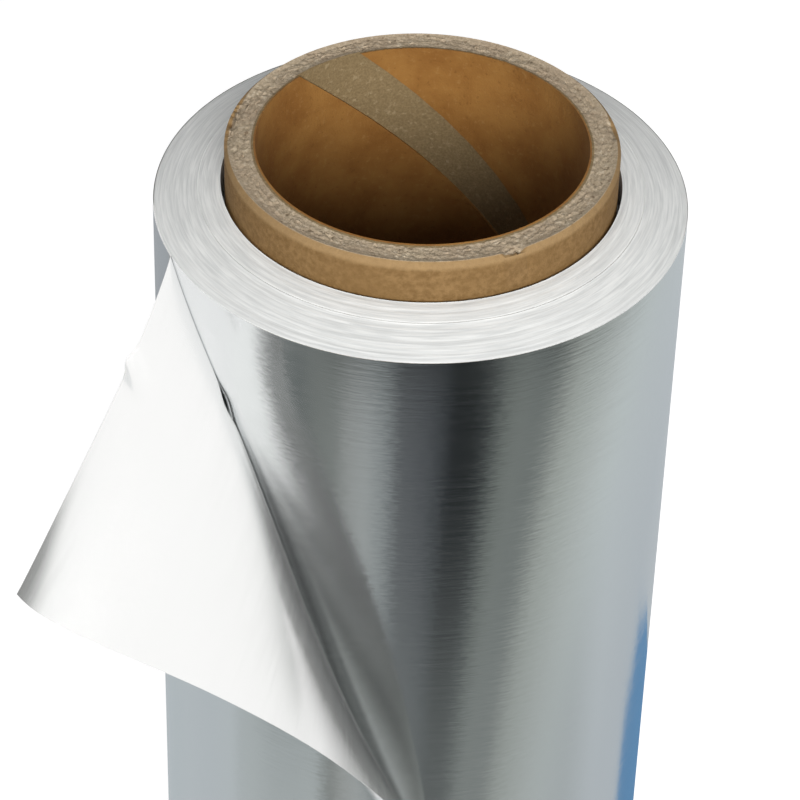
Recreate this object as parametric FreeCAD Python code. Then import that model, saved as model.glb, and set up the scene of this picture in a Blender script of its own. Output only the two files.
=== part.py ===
"""Catering roll of aluminium foil, standing on end: a spiral-wound cardboard core with the foil wound on it.

Millimetres. The origin is the centre of the core's lower end, and +Z runs up the axis. -Y is the front, where
the sheet's loose end lies. On the roll's side a place is given as it would be on the unrolled sheet: by its arc
from the front line, positive to the right, and by its drop below the sheet's upper edge.
"""

import FreeCAD, Part
import math
import os

Vector = FreeCAD.Vector
AXIS = Vector(0, 0, 1)

# Cardboard core
core_length = 310.0
core_bore_radius = 19.0
core_wall = 3.5
core_edge_chamfer = 0.3

# Gap that the innermost ply leaves as it spirals up the tube's inner wall
liner_pitch = 114.0
liner_gap_width = 6.0
liner_ply = 0.4
liner_gap_angle = 95.0
liner_gap_drop = 10.0

# Wound foil
foil_width = 300.0
winding_depth = 8.0
winding_clearance = 0.05
turn_slip = 2.35
turn_bundles = 9
bundle_jitter = 0.1
last_turn_step = 0.25
first_lap_step = 0.03

# Slack that opens between the core and the first turns at each end
slack_width = 0.4
slack_depth = 5.0

# Sheet's cut end, and the fold line of its turned-back upper corner
cut_edge_arc = 5.4
fold_start_arc = -34.0
fold_start_drop = 0.6
fold_bend_arc = -15.0
fold_bend_drop = 19.0
fold_end_arc = 2.0
fold_end_drop = 75.0

# Free edge of the turned-back corner, from its tip back to the roll: angle from the front, reach off the roll's
# side, and drop below the sheet's upper edge
tip_angle, tip_reach, tip_drop = -44.9, 29.8, 25.3
edge_angle, edge_reach, edge_drop = -35.4, 25.9, 30.7
foot_angle, foot_reach, foot_drop = -18.6, 10.0, 44.0
root_angle, root_reach, root_drop = 0.5, 3.0, 75.5

# Radius of the soft fold, at its start, middle and end
fold_radius_start = 0.4
fold_radius_middle = 2.2
fold_radius_end = 1.4
folded_sheet = 0.35
fold_lift = 22.0
fold_lead = 0.5
fold_tail = 1.5
fold_notch = 0.5
fold_sections = 7

core_outer_radius = core_bore_radius + core_wall
winding_radius = core_outer_radius + winding_clearance
roll_radius = winding_radius + winding_depth
core_stand_out = (core_length - foil_width) / 2
inner_turn_top = core_length - core_stand_out
sheet_top = inner_turn_top - turn_slip
sheet_bottom = sheet_top - foil_width
cut_edge_angle = math.degrees(cut_edge_arc / roll_radius)


def around(angle, radius, height):
    """Point at an angle from the front, positive to the right."""
    turn = math.radians(angle)
    return Vector(radius * math.sin(turn), -radius * math.cos(turn), height)


def curve_through(points):
    curve = Part.BSplineCurve()
    curve.interpolate(points)
    return curve.toShape()


def bezier(points, share):
    """Point on the Bezier curve of three or four control points."""
    while len(points) > 1:
        points = [a + (b - a) * share for a, b in zip(points, points[1:])]
    return points[0]


def ring(outer_radius, inner_radius, bottom, top):
    height = top - bottom
    base = Vector(0, 0, bottom)
    disc = Part.makeCylinder(outer_radius, height, base, AXIS)
    return disc.cut(Part.makeCylinder(inner_radius, height, base, AXIS))


def liner_gap():
    """Square-sided helical groove, one ply deep, that runs out of both ends of the core."""
    run_out = liner_gap_width * 2
    rise = liner_pitch / (2 * math.pi * core_bore_radius)
    gap_height = liner_gap_width * math.sqrt(1 + rise * rise)
    path = Part.makeHelix(liner_pitch, core_length + 2 * run_out, core_bore_radius)
    inner = core_bore_radius - liner_ply
    outer = core_bore_radius + liner_ply
    half = gap_height / 2
    corners = [Vector(inner, 0, -half), Vector(outer, 0, -half), Vector(outer, 0, half), Vector(inner, 0, half)]
    section = Part.makePolygon(corners + corners[:1])
    groove = Part.Wire(path.Edges).makePipeShell([section], True, True)
    groove.translate(Vector(0, 0, -run_out))
    turned = 360 * (core_length - liner_gap_drop + run_out) / liner_pitch
    groove.rotate(Vector(0, 0, 0), AXIS, liner_gap_angle - turned)
    return groove


def make_core():
    """Paper tube with eased cut ends and the liner's spiral gap inside."""
    tube = ring(core_outer_radius, core_bore_radius, 0, core_length)
    rims = [edge for edge in tube.Edges if isinstance(edge.Curve, Part.Circle)]
    tube = tube.makeChamfer(min(core_edge_chamfer, core_wall / 4), rims)
    return tube.cut(liner_gap())


def bundle_slip(index):
    """How far a bundle of turns sits below the innermost turn, with the unevenness of a real winding."""
    return turn_slip * index / turn_bundles + bundle_jitter * math.sin(2.3 * index)


def make_winding():
    """The wound turns as one body: bundles of turns step down from the core to the rim, at both ends alike."""
    width = winding_depth / turn_bundles
    top = []
    bottom = []
    for index in range(turn_bundles):
        inner = winding_radius + index * width
        outer = inner + width
        height = inner_turn_top - bundle_slip(index)
        low = height - foil_width
        if index == 0:
            slack = winding_radius + slack_width
            top += [Vector(winding_radius, 0, height - slack_depth), Vector(slack, 0, height - slack_depth)]
            bottom += [Vector(winding_radius, 0, low + slack_depth), Vector(slack, 0, low + slack_depth)]
            inner = slack
        top += [Vector(inner, 0, height), Vector(outer, 0, height)]
        bottom += [Vector(inner, 0, low), Vector(outer, 0, low)]
    outline = top + bottom[::-1]
    return Part.Face(Part.makePolygon(outline + outline[:1])).revolve(Vector(0, 0, 0), AXIS, 360)


def fold_point(share):
    """Arc and drop of a point on the fold line, as a vector in the flat sheet."""
    corners = [
        Vector(fold_start_arc, fold_start_drop, 0),
        Vector(fold_bend_arc, fold_bend_drop, 0),
        Vector(fold_end_arc, fold_end_drop, 0),
    ]
    return bezier(corners, share)


def fold_radius(share):
    radii = [Vector(fold_radius_start, 0, 0), Vector(fold_radius_middle, 0, 0), Vector(fold_radius_end, 0, 0)]
    return bezier(radii, share).x


def leaving_arc(share):
    """Arc at which the sheet leaves the roll: short of the fold line by its straight lead and its bend."""
    lift = math.radians(fold_lift)
    return fold_point(share).x - fold_lead * math.cos(lift) - fold_radius(share) * (1 - math.sin(lift))


def make_outer_turn():
    """The last turn: a spiral skin that ends in a step at the cut edge, less the corner that is folded back."""
    arcs = 6

    def on_spiral(turn):
        grown = first_lap_step + (last_turn_step - first_lap_step) * turn
        return around(cut_edge_angle + 360 * turn, roll_radius + grown, sheet_bottom)

    spiral = []
    for arc in range(arcs):
        start, middle, end = (on_spiral((arc + share) / arcs) for share in (0, 0.5, 1))
        spiral.append(Part.Arc(start, middle, end).toShape())
    outline = Part.Wire(spiral + [Part.makeLine(on_spiral(1), on_spiral(0))])
    skin = Part.Face(outline).extrude(AXIS * foil_width)
    inside = Part.makeCylinder(roll_radius - last_turn_step, foil_width, Vector(0, 0, sheet_bottom), AXIS)
    return skin.cut(inside).cut(folded_away())


def folded_away():
    """The part of the sheet between the fold line and the cut edge, as a block that looks in from the front."""
    above = sheet_top + last_turn_step
    front = -roll_radius - 2 * last_turn_step
    fold = []
    for section in range(fold_sections):
        share = section / (fold_sections - 1)
        across = roll_radius * math.sin((leaving_arc(share) - cut_edge_arc) / roll_radius)
        fold.append(Vector(across, front, sheet_top - fold_point(share).y))
    below = fold[-1].z - fold_notch
    corners = [
        fold[-1],
        Vector(fold[-1].x, front, below),
        Vector(0, front, below),
        Vector(0, front, above),
        Vector(fold[0].x, front, above),
        fold[0],
    ]
    outline = Part.Wire([curve_through(fold)] + Part.makePolygon(corners).Edges)
    block = Part.Face(outline).extrude(Vector(0, roll_radius, 0))
    block.rotate(Vector(0, 0, 0), AXIS, cut_edge_angle)
    return block


def fold_section(share):
    """Outline of the turned-back sheet across the fold: a tail in the last turn, the bend, and the flat leaf."""
    angle = math.degrees(leaving_arc(share) / roll_radius)
    root = around(angle, roll_radius + last_turn_step / 2, sheet_top - fold_point(share).y)
    along = around(angle + 90, 1, 0)
    free_edge = [
        around(tip_angle, roll_radius + tip_reach, sheet_top - tip_drop),
        around(edge_angle, roll_radius + edge_reach, sheet_top - edge_drop),
        around(foot_angle, roll_radius + foot_reach, sheet_top - foot_drop),
        around(root_angle, roll_radius + root_reach, sheet_top - root_drop),
    ]
    leaf = bezier(free_edge, share) - root
    out = leaf - along * leaf.dot(along)
    out.normalize()
    lift = math.radians(fold_lift)
    radius = fold_radius(share)
    centre_along = fold_lead * math.cos(lift) - radius * math.sin(lift)
    centre_out = fold_lead * math.sin(lift) + radius * math.cos(lift)
    centre = root + along * centre_along + out * centre_out
    ahead = leaf.dot(along) - centre_along
    aside = (leaf - along * leaf.dot(along)).Length - centre_out
    bend = math.atan2(aside, ahead) + math.asin(radius / math.hypot(ahead, aside))
    leaf_length = math.sqrt(ahead * ahead + aside * aside - radius * radius)

    def place_at(turn, beyond, offset):
        x = (radius + offset) * math.sin(turn) + beyond * math.cos(turn)
        y = beyond * math.sin(turn) - (radius + offset) * math.cos(turn)
        return centre + along * x + out * y

    half = folded_sheet / 2
    sides = []
    for offset in (half, -half):
        tail = place_at(lift, -fold_lead - fold_tail, offset)
        start = place_at(lift, 0, offset)
        middle = place_at((lift + bend) / 2, 0, offset)
        end = place_at(bend, 0, offset)
        free = place_at(bend, leaf_length, offset)
        sides.append([Part.makeLine(tail, start), Part.Arc(start, middle, end).toShape(), Part.makeLine(end, free)])
    outside, inside = sides
    tail_cap = Part.makeLine(inside[0].Vertexes[0].Point, outside[0].Vertexes[0].Point)
    free_cap = Part.makeLine(outside[2].Vertexes[-1].Point, inside[2].Vertexes[-1].Point)
    return Part.Wire([tail_cap] + outside + [free_cap] + inside[::-1])


def make_folded_corner():
    """The turned-back corner as a loft through its sections along the fold line."""
    sections = [fold_section(step / (fold_sections - 1)) for step in range(fold_sections)]
    return Part.makeLoft(sections, True, False)


def make_foil():
    roll = make_winding().fuse(make_outer_turn())
    return roll.fuse(make_folded_corner()).removeSplitter()


os.makedirs("parts", exist_ok=True)
for name, shape in (("core", make_core()), ("foil", make_foil())):
    print(name, "solids", len(shape.Solids), "valid", shape.isValid(), "volume", round(shape.Volume, 1))
    shape.exportStep("parts/" + name + ".step")
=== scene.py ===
"""A roll of aluminium foil standing on end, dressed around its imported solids.

The sections follow the roll as it is made: the cardboard core, the wound foil, the loose end with its folded
corner, and then the studio. Lengths are in metres. Angles are in degrees from the front (-Y), positive to the
right.
"""

import math

import bmesh
import bpy
import numpy as np
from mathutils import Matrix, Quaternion, Vector, noise


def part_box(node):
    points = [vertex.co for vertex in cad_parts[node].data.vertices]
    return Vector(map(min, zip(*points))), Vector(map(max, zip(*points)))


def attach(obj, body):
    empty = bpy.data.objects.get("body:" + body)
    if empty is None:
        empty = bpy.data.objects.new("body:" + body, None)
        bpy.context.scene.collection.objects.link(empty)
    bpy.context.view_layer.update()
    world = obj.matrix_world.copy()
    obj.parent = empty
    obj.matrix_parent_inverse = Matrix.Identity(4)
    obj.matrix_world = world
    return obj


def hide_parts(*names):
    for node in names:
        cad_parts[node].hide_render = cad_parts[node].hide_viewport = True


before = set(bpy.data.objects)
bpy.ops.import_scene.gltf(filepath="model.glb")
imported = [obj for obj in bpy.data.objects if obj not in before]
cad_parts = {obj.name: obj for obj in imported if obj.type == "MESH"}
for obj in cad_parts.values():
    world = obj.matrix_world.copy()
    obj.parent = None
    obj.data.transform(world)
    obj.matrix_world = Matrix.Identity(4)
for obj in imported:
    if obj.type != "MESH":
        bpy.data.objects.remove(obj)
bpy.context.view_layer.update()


# Cardboard core
# A spiral-wound paper tube: recycled grey board between an outer and an inner kraft ply. It is sawn to
# length, so its cut ends are rough, and the inner ply leaves a gap that climbs the bore.
core_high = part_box("core")[1]
core_top = core_high.z
core_radius = core_high.x
core_bore = 0.019
core_chamfer = 0.0004
ply = 0.0004
gap_pitch = 0.114
gap_width = 0.006
gap_angle = 185.0
gap_drop = 0.010
core_columns = 420
bore_rows = 96
wall_rows = 24
end_rings = 18

# Sawn ends: a tear is at an angle and spreads some degrees to each side, from a share of the wall outwards.
cut_grain = 22.0
wall_grain = 0.16
cut_roughness = 0.0004
tear_depth = 0.0009
tear_start = 0.7
torn_places = ((-98.0, 17.0), (101.0, 7.0), (28.0, 4.0))


def around(angle, radius, height):
    """Points at angles in degrees from the front, positive to the right."""
    turn = np.radians(angle)
    return np.stack(np.broadcast_arrays(radius * np.sin(turn), -radius * np.cos(turn), height), axis=-1)


def grid_faces(rows, columns, closed_rows=False, closed_columns=False):
    """Quads of a grid of points whose columns run to the right and whose rows run down an outer side."""
    faces = []
    for row in range(rows if closed_rows else rows - 1):
        below = (row + 1) % rows
        for column in range(columns if closed_columns else columns - 1):
            beside = (column + 1) % columns
            faces.append((row * columns + column, below * columns + column,
                          below * columns + beside, row * columns + beside))
    return faces


def add_piece(name, mesh, sharp_angle):
    """A piece in the scene, smooth but for the edges that turn by more than an angle in degrees."""
    mesh.validate()
    mesh.shade_smooth()
    mesh.set_sharp_from_angle(angle=math.radians(sharp_angle))
    piece = bpy.data.objects.new(name, mesh)
    bpy.context.scene.collection.objects.link(piece)
    return piece


def gap_turn(height):
    """Angle of the middle of the inner ply's gap at a height: it climbs the bore to the right."""
    return gap_angle + 360 * (height - core_top + gap_drop) / gap_pitch


def sawn_depth(angle, share, height):
    """How far a sawn end lies below its highest fibres.

    The share goes from 0 at the bore to 1 at the outside. Both ends are rough in the grey board, and the upper
    one is torn in a few places outside.
    """
    turn = math.radians(angle)
    place = Vector((math.sin(turn), math.cos(turn), share * wall_grain + height)) * cut_grain
    rough = 0.5 + 0.5 * noise.fractal(place * 4, 0.6, 2.0, 4)
    depth = cut_roughness * rough * min(1.0, 5 * share * (1 - share))
    for torn_angle, torn_spread in torn_places:
        away = (angle - torn_angle + 180) % 360 - 180
        if height > 0 and share > tear_start and abs(away) < torn_spread:
            torn = math.cos(away / torn_spread * math.pi / 2) * (0.7 + noise.noise(place * 3))
            depth += tear_depth * max(0.0, torn) * (share - tear_start) / (1 - tear_start)
    return max(0.0, depth)


def sawn_end(columns, bore, height, up):
    """Rings of points over a sawn end, from the bore to the outside."""
    angles = columns + gap_turn(height)
    rings = []
    for ring in range(end_rings + 1):
        share = ring / end_rings
        points = around(angles, bore + (core_radius - core_chamfer - bore) * share, height)
        points[:, 2] -= up * np.array([sawn_depth(angle, share, height) for angle in angles])
        rings.append(points)
    return rings


def core_mesh():
    """One closed skin: up the bore, out over the upper end, down the wall and back in under the lower end."""
    girth = 2 * math.pi * core_bore
    half_gap = 180 * gap_width * math.hypot(gap_pitch, girth) / (girth * gap_pitch)
    gap_columns = int(core_columns * half_gap / 180)
    columns = np.concatenate([np.linspace(-half_gap, half_gap, gap_columns),
                              np.linspace(half_gap, 360 - half_gap, core_columns - gap_columns)])
    bore = np.where(np.arange(core_columns) < gap_columns, core_bore + ply, core_bore)
    rows = []
    for height in np.linspace(0.0, core_top, bore_rows):
        rows.append(around(columns + gap_turn(height), bore, height))
    rows += sawn_end(columns, bore, core_top, 1)[1:]
    # The bore's columns turn with the gap. Down the wall they go back to where they began by the short way.
    back = (gap_turn(0.0) - gap_turn(core_top) + 180) % 360 - 180
    for share in np.linspace(0.0, 1.0, wall_rows):
        height = core_top - core_chamfer - (core_top - 2 * core_chamfer) * share
        rows.append(around(columns + gap_turn(core_top) + back * share, core_radius, height))
    rows += sawn_end(columns, bore, 0.0, -1)[:0:-1]
    mesh = bpy.data.meshes.new("cardboard_core")
    mesh.from_pydata(np.concatenate(rows).tolist(), [], grid_faces(len(rows), core_columns, True, True))
    return mesh


def paint(red, green, blue):
    """A colour as it shows on screen, 0 to 255, in the linear values that a shader takes."""
    channels = []
    for shade in (red, green, blue):
        share = shade / 255
        channels.append(share / 12.92 if share <= 0.04045 else ((share + 0.055) / 1.055) ** 2.4)
    return (*channels, 1.0)


def feed(tree, socket, value):
    """Join a socket to another node's output, or set its value."""
    if isinstance(value, bpy.types.NodeSocket):
        tree.links.new(value, socket)
    else:
        socket.default_value = value


def add_node(tree, kind, inputs, settings):
    """A new node of a tree with its settings made and its inputs fed."""
    node = tree.nodes.new(kind)
    for setting, value in settings.items():
        setattr(node, setting, value)
    for socket, value in inputs.items():
        feed(tree, node.inputs[socket], value)
    return node


class Finish:
    """A material with a short way to add its nodes and join them."""

    def __init__(self, name):
        self.material = bpy.data.materials.new(name)
        self.material.use_nodes = True
        self.tree = self.material.node_tree
        self.surface = self.tree.nodes["Principled BSDF"]
        self.point = self.add("ShaderNodeTexCoord").outputs["Object"]

    def add(self, kind, inputs=None, **settings):
        return add_node(self.tree, kind, inputs or {}, settings)

    def set(self, **values):
        """Feed the surface's inputs, named with an underscore for each space."""
        for name, value in values.items():
            feed(self.tree, self.surface.inputs[name.replace("_", " ")], value)

    def maths(self, operation, first, second=0.0, third=0.0):
        return self.add("ShaderNodeMath", {0: first, 1: second, 2: third}, operation=operation).outputs[0]

    def vector(self, operation, inputs):
        return self.add("ShaderNodeVectorMath", inputs, operation=operation).outputs

    def split(self, place):
        return self.add("ShaderNodeSeparateXYZ", {0: place}).outputs

    def joined(self, x=0.0, y=0.0, z=0.0):
        return self.add("ShaderNodeCombineXYZ", {0: x, 1: y, 2: z}).outputs[0]

    def from_axis(self):
        """The way out from the roll's axis, level, and its length."""
        place = self.split(self.point)
        outward = self.joined(place[0], place[1])
        return outward, self.vector("LENGTH", {0: outward})["Value"]

    def spots(self, place, scale, detail=3.0, roughness=0.5):
        inputs = {"Vector": place, "Scale": scale, "Detail": detail, "Roughness": roughness}
        return self.add("ShaderNodeTexNoise", inputs).outputs["Fac"]

    def band(self, value, low, high, start=0.0, end=1.0):
        """A soft step from start to end while the value goes from low to high."""
        inputs = {"Value": value, "From Min": low, "From Max": high, "To Min": start, "To Max": end}
        return self.add("ShaderNodeMapRange", inputs, interpolation_type="SMOOTHSTEP").outputs["Result"]

    def mix(self, share, first, second):
        return self.add("ShaderNodeMix", {0: share, 6: first, 7: second}, data_type="RGBA").outputs[2]

    def bump(self, height, strength, distance):
        node = self.add("ShaderNodeBump", {"Height": height, "Strength": strength, "Distance": distance})
        return node.outputs["Normal"]


def board_finish():
    """Kraft and grey board, told apart by their place in the wall, as the cut ends and the gap show them."""
    finish = Finish("core_board")
    height = finish.split(finish.point)[2]
    radius = finish.from_axis()[1]
    fibres = finish.spots(finish.point, 1500.0, 4.0, 0.6)
    flecks = finish.spots(finish.point, 3800.0, 2.0, 0.6)
    clouds = finish.spots(finish.point, 160.0, 3.0, 0.6)

    # Grey board, with light and dark fibres
    grey = finish.mix(finish.band(flecks, 0.3, 0.7), paint(164, 148, 124), paint(194, 177, 152))
    grey = finish.mix(finish.band(fibres, 0.56, 0.68), grey, paint(207, 193, 169))
    grey = finish.mix(finish.band(fibres, 0.42, 0.3), grey, paint(124, 108, 86))
    grey = finish.mix(finish.band(clouds, 0.35, 0.7, 0.0, 0.4), grey, paint(164, 142, 120))

    # Outer kraft ply, with a painted highlight that makes it paler along its upper rim
    outer = finish.mix(finish.band(fibres, 0.3, 0.7), paint(112, 85, 50), paint(136, 107, 69))
    outer = finish.mix(finish.band(clouds, 0.35, 0.75, 0.0, 0.7), outer, paint(120, 92, 55))
    rim_highlight = finish.band(height, core_top - 0.0013, core_top - 0.0005, 0.0, 0.35)
    outer = finish.mix(rim_highlight, outer, paint(190, 160, 117))

    # Inner kraft ply, and the board that shows in its gap
    inner = finish.mix(finish.band(clouds, 0.3, 0.7), paint(130, 88, 43), paint(149, 107, 56))
    inner = finish.mix(finish.band(fibres, 0.55, 0.75, 0.0, 0.5), inner, paint(162, 123, 74))
    inner = finish.mix(finish.band(fibres, 0.4, 0.3, 0.0, 0.5), inner, paint(112, 74, 36))
    gap = finish.mix(finish.band(flecks, 0.3, 0.7), paint(120, 102, 73), paint(137, 118, 86))
    gap = finish.mix(finish.band(fibres, 0.54, 0.72, 0.0, 0.5), gap, paint(172, 154, 121))

    # From the bore outwards: inner ply, board in the gap, grey board, outer ply
    board = finish.mix(finish.band(radius, core_bore + ply * 1.02, core_bore + ply * 1.3), gap, grey)
    colour = finish.mix(finish.band(radius, core_bore + ply * 0.45, core_bore + ply * 0.6), inner, board)
    colour = finish.mix(finish.band(radius, core_radius - ply * 1.1, core_radius - ply * 0.8), colour, outer)
    relief = finish.bump(finish.maths("ADD", fibres, flecks), 0.6, 0.00012)
    finish.set(Base_Color=colour, Roughness=0.85, Normal=relief)
    return finish.material


core = add_piece("cardboard_core", core_mesh(), 52)
core.data.materials.append(board_finish())
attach(core, "root")
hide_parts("core")


# Wound foil
# Some hundreds of turns of thin sheet, wound tight on the core. The turns have slipped a little, so the ends
# are shallow cones, and each end shows the sheet's cut edges as fine uneven rings.
turns_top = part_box("foil")[1].z
turn_slip = 0.00235
foil_width = 0.300
winding_bore = core_radius + 0.00005
slack = 0.0004
slack_depth = 0.005
roll_radius = 0.03055
drawn_turns = 52
turn_relief = 0.00005
turn_seed = 4.7
roll_segments = 288


def wound_turns_tree():
    """A lathe: the wound body's outline, with its rings, is carried round a circle."""
    tree = bpy.data.node_groups.new("wound_turns", "GeometryNodeTree")
    face = tree.interface
    face.new_socket("Geometry", in_out="OUTPUT", socket_type="NodeSocketGeometry")
    for name in ("Bore", "Slack", "Slack depth", "Radius", "Width", "Top", "Slip", "Relief", "Seed"):
        face.new_socket(name, in_out="INPUT", socket_type="NodeSocketFloat")
    for name in ("Turns", "Segments"):
        face.new_socket(name, in_out="INPUT", socket_type="NodeSocketInt")
    face.new_socket("Foil", in_out="INPUT", socket_type="NodeSocketMaterial")
    given = tree.nodes.new("NodeGroupInput").outputs
    result = tree.nodes.new("NodeGroupOutput")

    def add(kind, inputs=None, **settings):
        return add_node(tree, kind, inputs or {}, settings)

    def maths(operation, first, second=0.0, third=0.0):
        return add("ShaderNodeMath", {0: first, 1: second, 2: third}, operation=operation).outputs[0]

    def choose(test, no, yes):
        return add("GeometryNodeSwitch", {0: test, 1: no, 2: yes}, input_type="FLOAT").outputs[0]

    # The outline goes out over the top end and back under the lower one, with two more points where the slack
    # between the core and the first turns ends.
    half = maths("ADD", given["Turns"], 2.0)
    count = maths("MULTIPLY", half, 2.0)
    index = add("GeometryNodeInputIndex").outputs[0]
    under = maths("GREATER_THAN", index, maths("SUBTRACT", half, 0.5))
    back = maths("SUBTRACT", maths("SUBTRACT", count, 1.0), index)
    place = choose(under, index, back)
    turn = maths("MAXIMUM", maths("SUBTRACT", place, 2.0), 0.0)
    share = maths("DIVIDE", turn, maths("SUBTRACT", given["Turns"], 1.0))

    # Each turn has its radius. The first point of each end is on the bore.
    inner = maths("ADD", given["Bore"], given["Slack"])
    radius = maths("MULTIPLY_ADD", maths("SUBTRACT", given["Radius"], inner), share, inner)
    radius = choose(maths("LESS_THAN", place, 0.5), radius, given["Bore"])

    # Each turn has its height: the slip, an uneven lift, and a groove beside every second turn.
    spot = add("ShaderNodeCombineXYZ", {0: maths("MULTIPLY", turn, 0.37), 1: given["Seed"]}).outputs[0]
    uneven = add("ShaderNodeTexNoise", {"Vector": spot, "Scale": 2.3, "Detail": 4.0, "Roughness": 0.85})
    uneven = maths("SUBTRACT", uneven.outputs["Fac"], 0.5)
    lift = maths("MULTIPLY", uneven, maths("MULTIPLY", given["Relief"], 4.0))
    groove = maths("MULTIPLY", maths("MODULO", turn, 2.0), given["Relief"])
    height = maths("SUBTRACT", given["Top"], maths("MULTIPLY", share, given["Slip"]))
    height = maths("SUBTRACT", maths("ADD", height, lift), groove)
    inward = choose(under, given["Slack depth"], maths("MULTIPLY", given["Slack depth"], -1.0))
    height = maths("SUBTRACT", height, choose(maths("LESS_THAN", place, 1.5), 0.0, inward))
    height = maths("SUBTRACT", height, choose(under, 0.0, given["Width"]))

    # The circle's frame turns the outline's first axis outwards and its second one down.
    position = add("ShaderNodeCombineXYZ", {0: maths("SUBTRACT", radius, given["Bore"]),
                                            1: maths("MULTIPLY", height, -1.0)}).outputs[0]
    outline = add("GeometryNodeMeshLine", {"Count": count})
    outline = add("GeometryNodeSetPosition", {"Geometry": outline.outputs[0], "Position": position})
    outline = add("GeometryNodeMeshToCurve", {0: outline.outputs[0]})
    outline = add("GeometryNodeSetSplineCyclic", {0: outline.outputs[0], 2: True})
    circle = add("GeometryNodeCurvePrimitiveCircle", {"Resolution": given["Segments"],
                                                      "Radius": given["Bore"]})
    lathe = add("GeometryNodeCurveToMesh", {0: circle.outputs[0], 1: outline.outputs[0]})
    solid = add("GeometryNodeRealizeInstances", {0: lathe.outputs[0]})
    coated = add("GeometryNodeSetMaterial", {"Geometry": solid.outputs[0], "Material": given["Foil"]})
    tree.links.new(coated.outputs[0], result.inputs[0])
    return tree


def grown(name, tree, values):
    """The closed mesh that a node tree makes from its named inputs, with its faces outwards."""
    holder = bpy.data.objects.new(name, bpy.data.meshes.new(name))
    bpy.context.scene.collection.objects.link(holder)
    modifier = holder.modifiers.new("grow", "NODES")
    modifier.node_group = tree
    for item in tree.interface.items_tree:
        if item.item_type == "SOCKET" and item.in_out == "INPUT":
            modifier[item.identifier] = values[item.name]
    depsgraph = bpy.context.evaluated_depsgraph_get()
    mesh = bpy.data.meshes.new_from_object(holder.evaluated_get(depsgraph), depsgraph=depsgraph)
    bpy.data.objects.remove(holder)
    shell = bmesh.new()
    shell.from_mesh(mesh)
    bmesh.ops.recalc_face_normals(shell, faces=shell.faces)
    shell.to_mesh(mesh)
    shell.free()
    return mesh


def cut_edges():
    """The ends of the winding: hundreds of cut sheet edges, a dull light grey with fine broken rings."""
    finish = Finish("cut_edges")
    outward, radius = finish.from_axis()
    direction = finish.vector("NORMALIZE", {0: outward})[0]
    rings = []
    # Along a ring the pattern changes only by its drift, so each ring is long and thin.
    for scale, drift in ((5200.0, 0.0011), (1800.0, 0.0016), (500.0, 0.002)):
        beside = finish.vector("MULTIPLY", {0: direction, 1: (drift,) * 3})[0]
        place = finish.vector("ADD", {0: beside, 1: finish.joined(z=radius)})[0]
        rings.append(finish.spots(place, scale, 2.0, 0.6))
    fine, middle, broad = rings
    colour = finish.mix(finish.band(fine, 0.3, 0.7), paint(214, 216, 215), paint(240, 241, 239))
    colour = finish.mix(finish.band(middle, 0.3, 0.6, 0.25, 0.0), colour, paint(190, 192, 191))
    colour = finish.mix(finish.band(broad, 0.35, 0.65, 0.0, 0.3), colour, paint(234, 235, 233))
    relief = finish.bump(finish.maths("ADD", fine, middle), 0.2, 0.00004)
    finish.set(Base_Color=colour, Metallic=0.1, Roughness=0.5, Normal=relief)
    return finish.material


turns = add_piece("wound_turns", grown("wound_turns", wound_turns_tree(), {
    "Turns": drawn_turns, "Bore": winding_bore, "Slack": slack, "Slack depth": slack_depth,
    "Radius": roll_radius, "Width": foil_width, "Top": turns_top, "Slip": turn_slip, "Relief": turn_relief,
    "Segments": roll_segments, "Seed": turn_seed, "Foil": cut_edges(),
}), 50)
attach(turns, "root")
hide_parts("foil")


# Loose end
# The last turn of the same sheet, bright outside and satin inside. Its upper corner is turned back over the
# roll to the lower left, in a soft fold that opens downwards. Below the fold its cut edge lies flat again.
sheet_top = turns_top - turn_slip
sheet_bottom = sheet_top - foil_width
sheet_thickness = 0.00005
last_turn_step = 0.000125
first_lap_step = 0.00006
under_lap = 84.0

# Fold line as arc and drop on the unrolled sheet. The bend is tight at first and softer from a share down.
fold_line = ((-0.034, 0.0006), (-0.0126, 0.019), (0.0034, 0.075))
tight_bend = 0.0001
soft_bend = 0.0086
soft_from = 0.22
lip_length = 0.020

# Slit: the sheet is lifted off the roll at a share of the fold line.
slit_lift = 0.00040
slit_place = 0.272
slit_spread = 0.030
slit_reach = 0.003

# Free edge of the folded corner, as angle, reach off the roll's side, and drop below the sheet's upper edge
free_edge_places = ((-44.9, 0.02977, 0.02530), (-41.5, 0.02456, 0.03576), (-20.6, 0.02317, 0.02745),
                    (0.8, 0.01507, 0.05081), (7.2, 0.00366, 0.07532))

# Relief of the folded corner
swell_height = 0.0004
crumple_height = 0.00022
crumple_grain = 90.0
crumple_seed = 1.7
bulge_height = 0.0014
bulge_spread = 0.3
dent_depth = 0.0010
dent_place = 0.31
dent_width = 0.030
dent_spread = 0.05

# The curl round the fold is found in rounds, by halving the range of its whole turning, in radians.
curl_samples = 501
curl_rounds = 8
curl_halvings = 26
most_turning = 4.6
fold_rounds = 4
side_turning = 1.1

# Points of the mesh: along the sheet they crowd towards the bend.
crowding = 2.4
lap_columns = 300
leaf_columns = 64
fold_rows = 76
lip_rows = 16
plain_rows = 12


def bezier(points, share):
    """Point on the Bezier curve of a few control points."""
    points = [np.asarray(point, dtype=float) for point in points]
    while len(points) > 1:
        points = [first + (second - first) * share for first, second in zip(points, points[1:])]
    return points[0]


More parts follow.
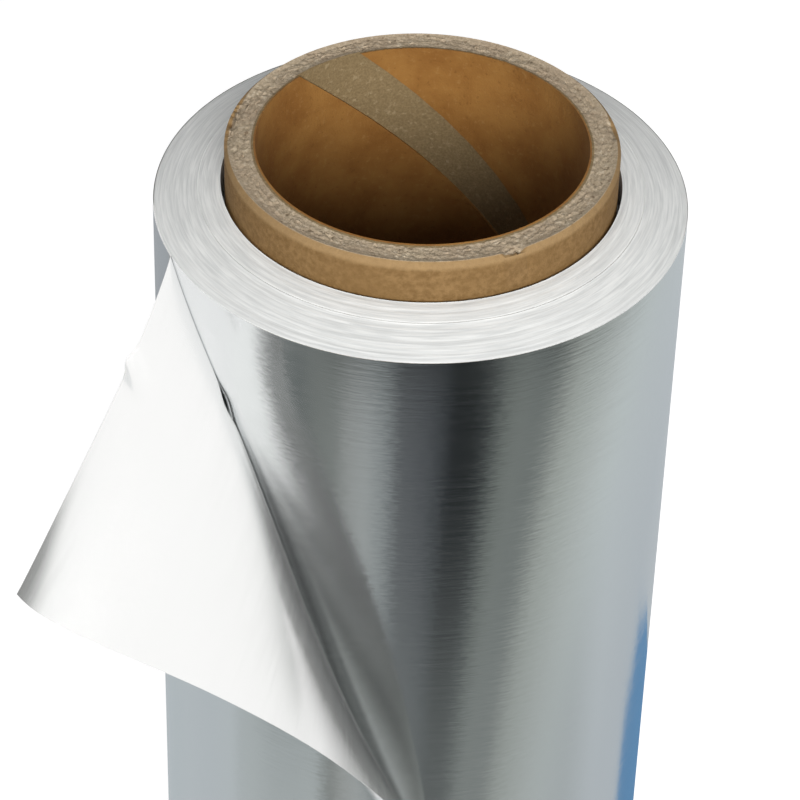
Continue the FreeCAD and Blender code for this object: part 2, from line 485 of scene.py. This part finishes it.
def curl(ahead, outward, ease):
    """A curve that leaves the roll along it, turns quickly at first and slower with every ease, to a point.

    Returns its parts from 0 to 1, its places ahead and outward, its turning and its length.
    """
    parts = np.linspace(0, 1, curl_samples) ** crowding
    steps = np.diff(parts)
    target = math.atan2(outward, ahead)
    length = math.hypot(ahead, outward)
    for _ in range(curl_rounds):
        eased = (1 - np.exp(-parts * length / ease)) / (1 - math.exp(-length / ease))
        least, most = target, min(most_turning, target * 2.2)
        for _ in range(curl_halvings):
            total = (least + most) / 2
            turn = total * eased
            across = np.concatenate([[0], np.cumsum(steps * (np.cos(turn[1:]) + np.cos(turn[:-1])) / 2)])
            rise = np.concatenate([[0], np.cumsum(steps * (np.sin(turn[1:]) + np.sin(turn[:-1])) / 2)])
            if math.atan2(rise[-1], across[-1]) % (2 * math.pi) < target:
                least = total
            else:
                most = total
        length = math.hypot(ahead, outward) / math.hypot(across[-1], rise[-1])
    return parts, across * length, rise * length, turn, length


def wrapped_radius(share):
    """Radius of the last turn, which grows over a turn and a bit to clear its own start."""
    return roll_radius + first_lap_step + (last_turn_step - first_lap_step) * share


def corner_relief(share, reach, ahead, drop):
    """How far the folded corner stands off its smooth curve.

    The share goes down the fold line, and the reach from it to the free edge. Both go from 0 to 1.
    """
    swell = swell_height * math.sin(math.pi * reach) * math.sin(math.pi * min(1.0, max(0.0, share)))
    spot = Vector((ahead * crumple_grain, drop * crumple_grain, crumple_seed))
    crumple = crumple_height * reach * noise.noise(spot)
    bulge = bulge_height * math.sin(math.pi * reach ** 0.7) * math.exp(-(share / bulge_spread) ** 2)
    dent = dent_depth * math.exp(-((reach - dent_place) / dent_width) ** 2 - (share / dent_spread) ** 2)
    return swell + crumple + bulge - dent


def laid_row(share):
    """A row of the sheet from under the last turn to the fold, round its bend and out to the free edge.

    Returns its points, their lengths along the sheet from where it leaves the roll, and the leaving angle.
    """
    arc, drop = bezier(fold_line, share)
    height = sheet_top - drop
    ease = tight_bend + soft_bend * (max(0.0, share - soft_from) / (1 - soft_from)) ** 1.3
    lifted = slit_lift * math.exp(-((share - slit_place) / slit_spread) ** 2)
    free_edge = [around(angle, roll_radius + off, sheet_top - low) for angle, off, low in free_edge_places]
    free_point = bezier(free_edge, share)

    # The bend carries the sheet on to the right. A few rounds find the leaving angle that puts its side at the
    # fold line: the place where it has turned by a given angle, or by most of its bend where that is less.
    reach_right = tight_bend
    for _ in range(fold_rounds):
        leaving = math.degrees((arc - reach_right) / roll_radius)
        root = around(leaving, roll_radius + last_turn_step + lifted, height)
        along = around(leaving + 90, 1.0, 0.0)
        leaf = free_point - root
        ahead = float(leaf @ along)
        out = (leaf - along * ahead) / np.linalg.norm(leaf - along * ahead)
        parts, across, rise, turn, length = curl(ahead, float(leaf @ out), ease)
        reach_right = float(np.interp(min(side_turning, 0.8 * turn[-1]), turn, across))
    lap = np.linspace(-360.0 - under_lap, leaving, lap_columns)
    raised = lifted * np.exp(-(np.radians(lap - leaving) * roll_radius / slit_reach) ** 2)
    wrapped = around(lap, wrapped_radius(np.linspace(0, 1, lap_columns)) + raised, height)

    chosen = np.linspace(0, 1, leaf_columns + 1)[1:] ** crowding
    across = np.interp(chosen, parts, across)
    rise = np.interp(chosen, parts, rise)
    turn = np.interp(chosen, parts, turn)
    folded = root + along * across[:, None] + out * rise[:, None]
    for index, reach in enumerate(chosen):
        facing = along * math.sin(turn[index]) - out * math.cos(turn[index])
        folded[index] += facing * corner_relief(share, reach, reach * length, drop)
    lengths = np.concatenate([np.radians(lap - leaving) * roll_radius, chosen * length])
    return np.concatenate([wrapped, folded]), lengths, leaving


def flat_row(lengths, leaving, height):
    """The same row where the sheet's end lies on the roll."""
    angles = leaving + np.degrees(lengths / roll_radius)
    share = np.minimum(1.0, (angles + 360 + under_lap) / (leaving + 360 + under_lap))
    return around(angles, wrapped_radius(share), height)


def loose_end_mesh():
    """The sheet as a grid: rows along the fold, rows of the lip below it that lie down, and plain rows.

    Its UV map is the flat sheet: the length along it from the front line, and the height.
    """
    # The fold line is carried on to the sheet's upper edge, where the drop is 0.
    first_share = -fold_line[0][1] / (2 * (fold_line[1][1] - fold_line[0][1]))
    rows = []
    places = []
    for share in np.linspace(first_share, 1.0, fold_rows):
        points, lengths, leaving = laid_row(share)
        rows.append(points)
        places.append((lengths + math.radians(leaving) * roll_radius, points[0, 2]))
    curled = rows[-1]
    along_sheet, fold_end = places[-1]
    for step in range(1, lip_rows + 1):
        share = step / lip_rows
        settled = share * share * (3 - 2 * share)
        height = fold_end - lip_length * share
        lowered = curled - (0.0, 0.0, fold_end - height)
        rows.append(lowered + (flat_row(lengths, leaving, height) - lowered) * settled)
        places.append((along_sheet, height))
    for height in np.linspace(fold_end - lip_length, sheet_bottom, plain_rows + 1)[1:]:
        rows.append(flat_row(lengths, leaving, height))
        places.append((along_sheet, height))
    columns = len(lengths)
    mesh = bpy.data.meshes.new("loose_end")
    mesh.from_pydata(np.concatenate(rows).tolist(), [], grid_faces(len(rows), columns))
    spread = np.stack([np.concatenate([place for place, height in places]),
                       np.repeat([height for place, height in places], columns)], axis=-1)
    corners = np.empty(len(mesh.loops), dtype=np.int32)
    mesh.loops.foreach_get("vertex_index", corners)
    layer = mesh.uv_layers.new(name="sheet")
    layer.data.foreach_set("uv", spread[corners].astype(np.float32).ravel())
    return mesh


def sharpen_rims(mesh):
    """Make the sheet's edges sharp, so that its thickness doesn't shade the faces beside them."""
    sheet = bmesh.new()
    sheet.from_mesh(mesh)
    for edge in sheet.edges:
        if edge.is_boundary:
            edge.smooth = False
    sheet.to_mesh(mesh)
    sheet.free()


def rolled_foil(name, colour, metal, roughness, relief, waver):
    """Rolled sheet: fine lines along it, which spread light across them. Places are on the flat sheet."""
    finish = Finish(name)
    sheet = finish.add("ShaderNodeUVMap", uv_map="sheet").outputs[0]
    along, up, _ = finish.split(sheet)
    streaks = []
    for stretch, scale in ((0.10, 3600.0), (0.05, 1500.0), (0.2, 4200.0)):
        place = finish.joined(finish.maths("MULTIPLY", along, stretch), up, scale * 0.01)
        streaks.append(finish.spots(place, scale, 3.0, 0.65))
    fine, broad, wavering = streaks
    clouds = finish.spots(sheet, 70.0, 2.0, 0.5)
    height = finish.maths("MULTIPLY_ADD", clouds, 1.5, finish.maths("MULTIPLY_ADD", fine, 0.6, broad))
    tangent = finish.add("ShaderNodeTangent", direction_type="UV_MAP", uv_map="sheet").outputs[0]
    tilt = finish.maths("MULTIPLY", finish.maths("SUBTRACT", wavering, 0.5), waver)
    lean = finish.vector("SCALE", {0: tangent, "Scale": tilt})[0]
    normal = finish.vector("ADD", {0: finish.bump(height, relief, 0.00005), 1: lean})[0]
    normal = finish.vector("NORMALIZE", {0: normal})[0]
    finish.set(Base_Color=paint(*colour), Metallic=metal, Roughness=finish.band(broad, 0.25, 0.75, *roughness),
               Anisotropic=0.75, Anisotropic_Rotation=0.25, Tangent=tangent, Normal=normal)
    return finish.material


loose_end = add_piece("loose_end", loose_end_mesh(), 60)
loose_end.data.materials.append(rolled_foil("bright_side", (232, 234, 235), 1.0, (0.09, 0.14), 0.15, 0.12))
loose_end.data.materials.append(rolled_foil("satin_side", (243, 243, 242), 0.85, (0.20, 0.27), 0.0, 0.0))
sharpen_rims(loose_end.data)
thickness = loose_end.modifiers.new("thickness", "SOLIDIFY")
thickness.thickness = sheet_thickness
thickness.offset = -1.0
thickness.material_offset = 1
thickness.material_offset_rim = 1
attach(loose_end, "root")
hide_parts("foil")


# Studio
# A white floor, a white surround and two soft lamps. A ring of standing grey cards around the roll, seen only
# by what mirrors them, gives the bright foil its upright bands of light and dark.
black = (0.0, 0.0, 0.0, 1.0)
white = (1.0, 1.0, 1.0, 1.0)
floor_half = 4
floor_glow = 0.68
sky_light = 0.17
card_distance = 0.20
card_count = 120
card_glow = 1.22

# The cards are higher in front. Towards both ends of the front they slope down to the side's height.
front_card_top = 0.33
side_card_top = 0.21
front_middle = 22
front_half = 80
front_slope = 20

# Shades of the cards by angle. On the right their bands lean inwards below a height and outwards above it.
lean_height = 0.157
card_lean = 6.8
card_shades = (
    (-180, (168, 174, 178)), (-135, (168, 175, 178)), (-118, (172, 178, 181)), (-98, (171, 177, 180)),
    (-82, (172, 178, 180)), (-68, (140, 145, 146)), (-58, (90, 95, 94)), (-48, (88, 93, 92)),
    (-40, (108, 112, 109)), (-32, (117, 121, 118)), (-26, (142, 145, 143)), (-19, (148, 152, 151)),
    (-12, (131, 136, 136)), (-5, (86, 89, 91)), (6, (71, 74, 77)), (13, (50, 54, 57)), (17, (17, 21, 24)),
    (26, (12, 17, 19)), (32, (40, 44, 45)), (39, (98, 103, 99)), (46, (112, 117, 113)), (54, (100, 105, 103)),
    (61, (104, 109, 106)), (70, (154, 158, 152)), (77, (156, 162, 157)), (86, (166, 171, 167)),
    (95, (174, 179, 177)), (108, (180, 187, 186)), (126, (176, 182, 184)), (180, (168, 174, 178)),
)
high_shades = (
    (-180, (148, 151, 149)), (-110, (148, 151, 149)), (-70, (150, 153, 151)), (-42, (104, 107, 105)),
    (-28, (50, 53, 51)), (-10, (20, 23, 21)), (6, (20, 23, 21)), (22, (36, 39, 37)), (36, (76, 79, 77)),
    (48, (68, 71, 69)), (60, (40, 43, 41)), (76, (88, 91, 89)), (90, (120, 123, 121)), (115, (165, 168, 166)),
    (180, (168, 171, 169)),
)

# A blue card low behind on the right, as angles and heights of its corners
blue_distance = 0.19
blue_corners = ((121, 0.0), (166, 0.0), (166, 0.056), (144, 0.079), (132, 0.081), (123, 0.058))

# Lamps: name, place, size and power
lamp_aim = Vector((0, 0, 0.28))
lamps = (
    ("front_softbox", (0.12, -0.85, 0.64), 0.5, 10.5),
    ("overhead_softbox", (-0.15, 0.10, 1.35), 0.3, 1.5),
)

camera_lens = 159.67
camera_sensor = 36.0
camera_place = (0.0, -0.32784, 0.54444)
camera_aim = Vector((-0.001686, 0.0, 0.2720))
camera_roll = 1.7378


def staged(name, points, faces, finish):
    """A thing of the studio, which isn't part of the roll."""
    mesh = bpy.data.meshes.new(name)
    mesh.from_pydata(points, [], faces)
    thing = bpy.data.objects.new(name, mesh)
    thing.data.materials.append(finish.material)
    bpy.context.scene.collection.objects.link(thing)
    return thing


def ring_of_cards():
    """Points and faces of the cards, a closed wall of upright quads."""
    points = []
    faces = []
    for number in range(card_count):
        angle = number * 360 / card_count
        away = abs((angle - front_middle + 180) % 360 - 180)
        front = max(0.0, min(1.0, (front_half - away) / front_slope))
        for height in (0.0, side_card_top + (front_card_top - side_card_top) * front):
            points.append(around(angle, card_distance, height).tolist())
        beside = (number + 1) % card_count
        faces.append((2 * number, 2 * number + 1, 2 * beside + 1, 2 * beside))
    return points, faces


def shades_around(finish, azimuth, shades):
    """Shades round the roll, each at its angle in degrees and blended into the next."""
    place = finish.maths("MULTIPLY_ADD", azimuth, 0.5 / math.pi, 0.5)
    ramp = finish.add("ShaderNodeValToRGB", {0: place})
    while len(ramp.color_ramp.elements) < len(shades):
        ramp.color_ramp.elements.new(0.5)
    for element, (angle, shade) in zip(ramp.color_ramp.elements, shades):
        element.position = angle / 360 + 0.5
    for element, (angle, shade) in zip(ramp.color_ramp.elements, shades):
        element.color = paint(*shade)
    return ramp.outputs["Color"]


def glowing(finish, colour):
    """The finish as that of a card that shines by itself."""
    finish.set(Base_Color=black, Roughness=1.0, Emission_Color=colour, Emission_Strength=card_glow)
    return finish


def card_finish():
    """Upright bands of light and dark, with what changes them at some angles and heights."""
    finish = Finish("card_paint")
    x, y, height = finish.split(finish.point)
    azimuth = finish.maths("ARCTAN2", x, finish.maths("MULTIPLY", y, -1.0))

    def turning(start, end, low=0.0, high=1.0):
        return finish.band(azimuth, math.radians(start), math.radians(end), low, high)

    def laid_over(shade, colour, *steps):
        share = steps[0]
        for step in steps[1:]:
            share = finish.maths("MULTIPLY", share, step)
        return finish.mix(share, shade, colour)

    lean = finish.maths("MULTIPLY_ADD", finish.maths("SUBTRACT", lean_height, height), card_lean, 1.0)
    lean = finish.maths("MAXIMUM", finish.maths("MINIMUM", lean, 2.0), 0.7)
    right_side = finish.maths("MULTIPLY", finish.maths("MAXIMUM", azimuth, 0.0), lean)
    leaning = finish.maths("ADD", finish.maths("MINIMUM", azimuth, 0.0), right_side)
    shade = shades_around(finish, leaning, card_shades)

    # Faded low in front and on the right, lighter low on the left, darker higher up behind on the left
    shade = laid_over(shade, paint(128, 133, 131), turning(-16, -6), turning(100, 76),
                      finish.band(height, 0.142, 0.062, 0.0, 0.4))
    shade = laid_over(shade, paint(166, 172, 172), turning(-84, -72), turning(-30, -40),
                      finish.band(height, 0.100, 0.072, 0.0, 0.85))
    shade = laid_over(shade, paint(148, 152, 156), turning(-114, -126), finish.band(height, 0.095, 0.125))

    # The foil beside the fold mirrors the upper part, which has its own shades. The top fades to white, from
    # higher up on the right.
    high = shades_around(finish, azimuth, high_shades)
    shade = laid_over(shade, high, finish.band(height, 0.160, 0.172))
    lowered = finish.maths("ADD", height, turning(-5, 20, 0.0, -0.031))
    shade = laid_over(shade, paint(236, 237, 236), finish.band(lowered, 0.238, 0.284))
    return glowing(finish, shade)


floor_paint = Finish("floor_paint")
camera_rays = floor_paint.add("ShaderNodeLightPath").outputs["Is Camera Ray"]
floor_paint.set(Base_Color=paint(244, 244, 244), Roughness=0.9, Emission_Color=white,
                Emission_Strength=floor_paint.maths("MULTIPLY", camera_rays, floor_glow))
floor_corners = [(x * floor_half, y * floor_half, 0) for x, y in ((-1, -1), (1, -1), (1, 1), (-1, 1))]
staged("floor", floor_corners, [(0, 1, 2, 3)], floor_paint)

cards = staged("cards", *ring_of_cards(), card_finish())
blue_points = [around(angle, blue_distance, height).tolist() for angle, height in blue_corners]
blue_finish = glowing(Finish("blue_paint"), paint(86, 126, 162))
blue_card = staged("blue_card", blue_points, [tuple(range(len(blue_points)))], blue_finish)
for card in (cards, blue_card):
    card.visible_camera = False
    card.visible_diffuse = False
    card.visible_shadow = False
    card.visible_transmission = False

world = bpy.data.worlds.new("studio")
bpy.context.scene.world = world
world.use_nodes = True
sky = world.node_tree.nodes["Background"].inputs
rays = world.node_tree.nodes.new("ShaderNodeLightPath").outputs
seen = add_node(world.node_tree, "ShaderNodeMath", {0: rays["Is Camera Ray"], 1: rays["Is Glossy Ray"]},
                {"operation": "ADD", "use_clamp": True})
level = add_node(world.node_tree, "ShaderNodeMapRange",
                 {"Value": seen.outputs[0], "To Min": sky_light, "To Max": 1.0}, {})
feed(world.node_tree, sky["Strength"], level.outputs["Result"])
feed(world.node_tree, sky["Color"], white)

for name, place, size, power in lamps:
    lamp_data = bpy.data.lights.new(name, "AREA")
    lamp_data.shape = "DISK"
    lamp_data.size = size
    lamp_data.energy = power
    lamp = bpy.data.objects.new(name, lamp_data)
    lamp.location = place
    lamp.rotation_euler = (lamp_aim - lamp.location).to_track_quat("-Z", "Y").to_euler()
    lamp.visible_glossy = False
    bpy.context.scene.collection.objects.link(lamp)

camera_data = bpy.data.cameras.new("camera")
camera_data.lens = camera_lens
camera_data.sensor_width = camera_sensor
camera = bpy.data.objects.new("camera", camera_data)
camera.location = camera_place
aim = (camera_aim - camera.location).to_track_quat("-Z", "Y")
camera.rotation_euler = (aim @ Quaternion((0, 0, 1), math.radians(camera_roll))).to_euler()
bpy.context.scene.collection.objects.link(camera)
bpy.context.scene.camera = camera
bpy.context.scene.view_settings.view_transform = "Standard"
